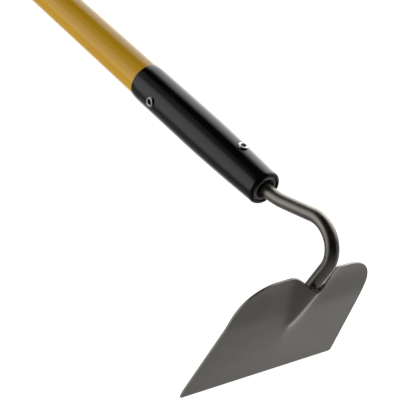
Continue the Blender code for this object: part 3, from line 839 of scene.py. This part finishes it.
def make_side_weld(name, node, side, material, tool):
    """A bead along the neck, in the hollow of the rib behind the blade."""
    line = neck_under_rib()
    steps = 90
    path = []
    for i in range(steps + 1):
        up_by = SIDE_WELD_START + (SIDE_WELD_END - SIDE_WELD_START) * i / steps
        path.append(on_blade(up_by, side * SIDE_WELD_OUT, line(up_by) - SIDE_WELD_BELOW))
    body = bead(path, [SIDE_WELD_RADIUS] * len(path), SIDE_WELD_RIPPLE)
    place(name, body, node, "weld_steel", material, tool)


# Studio


def make_camera(tool):
    camera = bpy.data.cameras.new("camera")
    camera.lens = CAMERA_FOCAL_LENGTH
    camera.sensor_width = CAMERA_SENSOR
    camera.clip_start = 0.01
    camera.clip_end = 50
    holder = bpy.data.objects.new("camera", camera)
    bpy.context.scene.collection.objects.link(holder)
    behind = CAMERA_RIGHT.cross(-CAMERA_DOWN).normalized()
    turn = Matrix((CAMERA_RIGHT.normalized(), -CAMERA_DOWN.normalized(), behind)).transposed().to_4x4()
    turn.translation = CAMERA_PLACE
    holder.matrix_world = tool @ turn
    bpy.context.scene.camera = holder


def make_floor(tool):
    """A wide, plain, pale floor. It takes soft shadows, glows a little, and is left out of reflections."""
    mesh = bpy.data.meshes.new("floor")
    body = bmesh.new()
    bmesh.ops.create_grid(body, x_segments=1, y_segments=1, size=FLOOR_HALF_SIDE)
    body.to_mesh(mesh)
    body.free()
    floor = bpy.data.objects.new("floor", mesh)
    bpy.context.scene.collection.objects.link(floor)
    floor.visible_glossy = False
    material, nodes, shader = new_material("floor_paper", tool, Roughness=0.9, Specular_IOR_Level=0.0)
    fibre = nodes.noise(nodes.place_of((1, 1, 1)), 500, 3.0)
    link(nodes, shader, Base_Color=nodes.blend(fibre, (0.90, 0.90, 0.90), (0.93, 0.93, 0.93)))
    shader.inputs["Emission Color"].default_value = (1, 1, 1, 1)
    shader.inputs["Emission Strength"].default_value = FLOOR_GLOW
    mesh.materials.append(material)


def direction_of(tool, turn, rise):
    """A direction in the row's frame: turned to the right of the camera's view, and then risen above it."""
    turn, rise = math.radians(turn), math.radians(rise)
    away = CAMERA_RIGHT.cross(CAMERA_DOWN)
    level = math.sin(turn) * CAMERA_RIGHT + math.cos(turn) * away
    return tool.to_3x3() @ (math.cos(rise) * level - math.sin(rise) * CAMERA_DOWN).normalized()


def add_glow(nodes, where, direction, full, edge, strength):
    """Light from round one direction: even out to the angle full, and gone at the angle edge."""
    inputs = {0: where, 1: direction}
    nearness = nodes.add("ShaderNodeVectorMath", inputs, operation="DOT_PRODUCT").outputs["Value"]
    inputs = {"Value": nearness, "To Min": 0.0, "To Max": strength,
              "From Min": math.cos(math.radians(edge)), "From Max": math.cos(math.radians(full))}
    return nodes.add("ShaderNodeMapRange", inputs, interpolation_type="SMOOTHSTEP").outputs["Result"]


def make_world(tool):
    """The studio: light walls for glossy rays, an even dome for matt surfaces, and white for the camera."""
    world = bpy.data.worlds.new("studio")
    bpy.context.scene.world = world
    world.use_nodes = True
    world.cycles.sampling_method = "NONE"
    nodes = Nodes(world.node_tree, tool)
    where = nodes.add("ShaderNodeTexCoord").outputs["Generated"]
    walls = STUDIO_DARK
    for turn, rise, full, edge, strength in STUDIO_WALLS:
        glow = add_glow(nodes, where, direction_of(tool, turn, rise), full, edge, strength)
        walls = nodes.maths(glow, walls)
    kind = nodes.add("ShaderNodeLightPath").outputs
    mirrored = nodes.add("ShaderNodeMix", {0: kind["Is Glossy Ray"], 2: STUDIO_DOME, 3: walls}).outputs[0]
    strength = nodes.add("ShaderNodeMix", {0: kind["Is Camera Ray"], 2: mirrored, 3: 1.0}).outputs[0]
    background = world.node_tree.nodes["Background"]
    world.node_tree.links.new(strength, background.inputs["Strength"])
    background.inputs["Color"].default_value = (1.0, 1.0, 1.0, 1)


def main():
    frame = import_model()
    tool = tool_axes(frame["record"])
    make_camera(tool)
    neck_steel = drawn_steel(tool)
    welds = weld_scale_and_painted_shade(tool)
    rivets = zinc(tool)
    make_handle(tool)
    make_ferrule(tool)
    make_adapter(tool)
    make_seal(tool)
    make_cap(tool)
    make_rivet("shiny_upper_rivet", "upper_rivet", UPPER_RIVET_X, FERRULE_RADIUS, True, rivets, tool)
    lower_reach = ferrule_outer_radius(-LOWER_RIVET_X)
    make_rivet("shiny_lower_rivet", "lower_rivet", LOWER_RIVET_X, lower_reach, False, rivets, tool)
    make_neck(neck_steel, tool)
    make_blade(tool)
    make_rim_weld(welds, tool)
    make_side_weld("left_bead", "left_weld", -1, welds, tool)
    make_side_weld("right_bead", "right_weld", 1, welds, tool)
    make_floor(tool)
    make_world(tool)
    bpy.context.scene.view_settings.view_transform = "Standard"


main()
